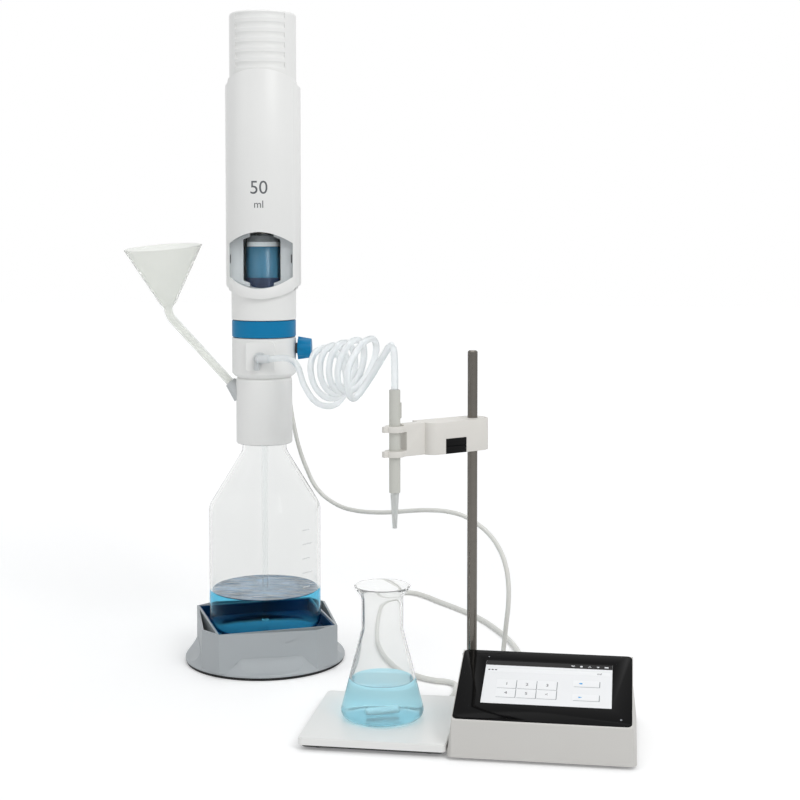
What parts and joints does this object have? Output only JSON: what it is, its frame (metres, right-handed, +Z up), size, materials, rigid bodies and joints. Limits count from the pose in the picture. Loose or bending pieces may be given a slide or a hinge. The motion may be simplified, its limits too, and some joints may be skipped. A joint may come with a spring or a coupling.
{
  "type": "automatic titrator",
  "caption": "Automatic titrator: motor burette head on a reagent bottle, touch control unit, magnetic stirrer, swinging tip holder and flask.",
  "frame": {"origin": "centre of the bottle stand's underside, on the surface that the object stands on", "axes": "+Z up, +X to the right along the control unit's front, -Y towards the user"},
  "size_m": [0.4591, 0.4804, 0.5839],
  "materials": {
    "white_shell": "satin moulded plastic, near white",
    "warm_grey_shell": "fine-textured moulded plastic",
    "stand_grey": "satin moulded plastic",
    "cradle_blue": "satin moulded plastic, deep blue",
    "accent_blue": "glossy moulded plastic, blue",
    "dark_plastic": "matt black plastic",
    "rubber_black": "matt rubber",
    "lab_glass": "clear borosilicate glass",
    "clear_cover": "clear moulded cover",
    "reagent_blue": "clear blue liquid",
    "sample_blue": "clear pale blue liquid",
    "ptfe": "waxy white plastic",
    "piston_grey": "dark grey plastic",
    "steel": "ground steel",
    "brass": "machined brass",
    "motor_black": "black painted metal",
    "panel_black": "black glass, glossy",
    "display_white": "lit display behind glass",
    "arm_white": "satin moulded plastic, warm white",
    "tip_grey": "satin moulded plastic, light grey",
    "nozzle_clear": "translucent plastic",
    "cable_white": "smooth cable jacket, off-white",
    "tube_clear": "translucent tubing"
  },
  "bodies": {
    "root": {"stand_shell": "stand_grey", "stand_foot_pad": "rubber_black", "bottle_cradle": "cradle_blue", "reagent_bottle": "lab_glass", "reagent": "reagent_blue", "dip_tube": "ptfe", "neck_adapter": "white_shell", "port_bush": "tip_grey", "valve_block": "white_shell", "outlet_elbow": "ptfe", "lower_housing": "white_shell", "main_sleeve": "white_shell", "window_cover": "clear_cover", "glass_barrel": "lab_glass", "barrel_charge": "sample_blue", "barrel_collar": "white_shell", "guide_rods": "steel", "motor_plate": "motor_black", "motor": "motor_black", "top_cap": "white_shell", "head_cable_gland": "cable_white", "head_cable": "cable_white", "head_cable_plug": "dark_plastic", "control_housing": "warm_grey_shell", "control_base_cover": "warm_grey_shell", "touch_panel": "panel_black", "display_module": "display_white", "control_feet": "rubber_black", "rod_socket": "dark_plastic", "support_rod": "steel", "stirrer_top": "white_shell", "stirrer_base": "dark_plastic", "stirrer_feet": "rubber_black", "stirrer_cable_gland": "warm_grey_shell", "stirrer_cable": "cable_white", "stirrer_cable_plug": "dark_plastic", "dosing_tube_lead": "tube_clear", "dosing_tube_coil": "tube_clear"},
    "piston_set": {"piston": "piston_grey", "piston_seal": "ptfe", "piston_rod": "steel", "screw_nut": "brass"},
    "drive_screw": {"lead_screw": "steel"},
    "lock_ring_part": {"lock_ring": "accent_blue"},
    "knob_part": {"valve_knob": "accent_blue", "valve_spindle": "dark_plastic"},
    "funnel_part": {"refill_funnel": "lab_glass"},
    "clamp_part": {"clamp_bush": "dark_plastic"},
    "arm_part": {"holder_arm": "arm_white", "tip_body": "tip_grey", "tip_nozzle": "nozzle_clear", "dosing_tube_drop": "tube_clear"},
    "lever_part": {"release_lever": "dark_plastic"},
    "flask_part": {"flask": "lab_glass", "sample": "sample_blue"},
    "stir_bar_part": {"stir_bar": "ptfe"}
  },
  "joints": [
    {"name": "piston_slide", "type": "slide", "parent": "root", "child": "piston_set", "axis": [0, 0, 1], "range_m": [-0.07, 0], "deforming": ["barrel_charge"]},
    {"name": "screw_spin", "type": "hinge", "parent": "root", "child": "drive_screw", "pos_m": [0, 0, 0.45], "axis": [0, 0, 1], "range_deg": [0, 2522]},
    {"name": "lock_ring_turn", "type": "hinge", "parent": "root", "child": "lock_ring_part", "pos_m": [0, 0, 0.302], "axis": [0, 0, 1], "range_deg": [0, 45]},
    {"name": "knob_turn", "type": "hinge", "parent": "root", "child": "knob_part", "pos_m": [0, 0, 0.284], "axis": [0.9925, 0.1219, 0], "range_deg": [0, 180]},
    {"name": "funnel_draw", "type": "slide", "parent": "root", "child": "funnel_part", "axis": [-0.6718, -0.0825, 0.7361], "range_m": [0, 0.012]},
    {"name": "clamp_slide", "type": "slide", "parent": "root", "child": "clamp_part", "axis": [0, 0, 1], "range_m": [-0.04, 0.04], "deforming": ["dosing_tube_coil", "dosing_tube_drop"]},
    {"name": "arm_swing", "type": "hinge", "parent": "clamp_part", "child": "arm_part", "pos_m": [0.203, -0.127, 0.2285], "axis": [0, 0, 1], "range_deg": [-25, 50], "deforming": ["dosing_tube_coil", "dosing_tube_drop"]},
    {"name": "lever_press", "type": "slide", "parent": "arm_part", "child": "lever_part", "axis": [-0.6794, 0.7337, 0], "range_m": [0, 0.002], "stiffness_N_per_m": 300},
    {"name": "flask_lift", "type": "slide", "parent": "root", "child": "flask_part", "axis": [0, 0, 1], "range_m": [0, 0.04]},
    {"name": "stir_spin", "type": "hinge", "parent": "flask_part", "child": "stir_bar_part", "pos_m": [0.1375, -0.174, 0.0149], "axis": [0, 0, 1], "continuous": true}
  ],
  "couplings": [
    {"joint": "screw_spin", "follows": "piston_slide", "rad_per_m": -628.32}
  ]
}
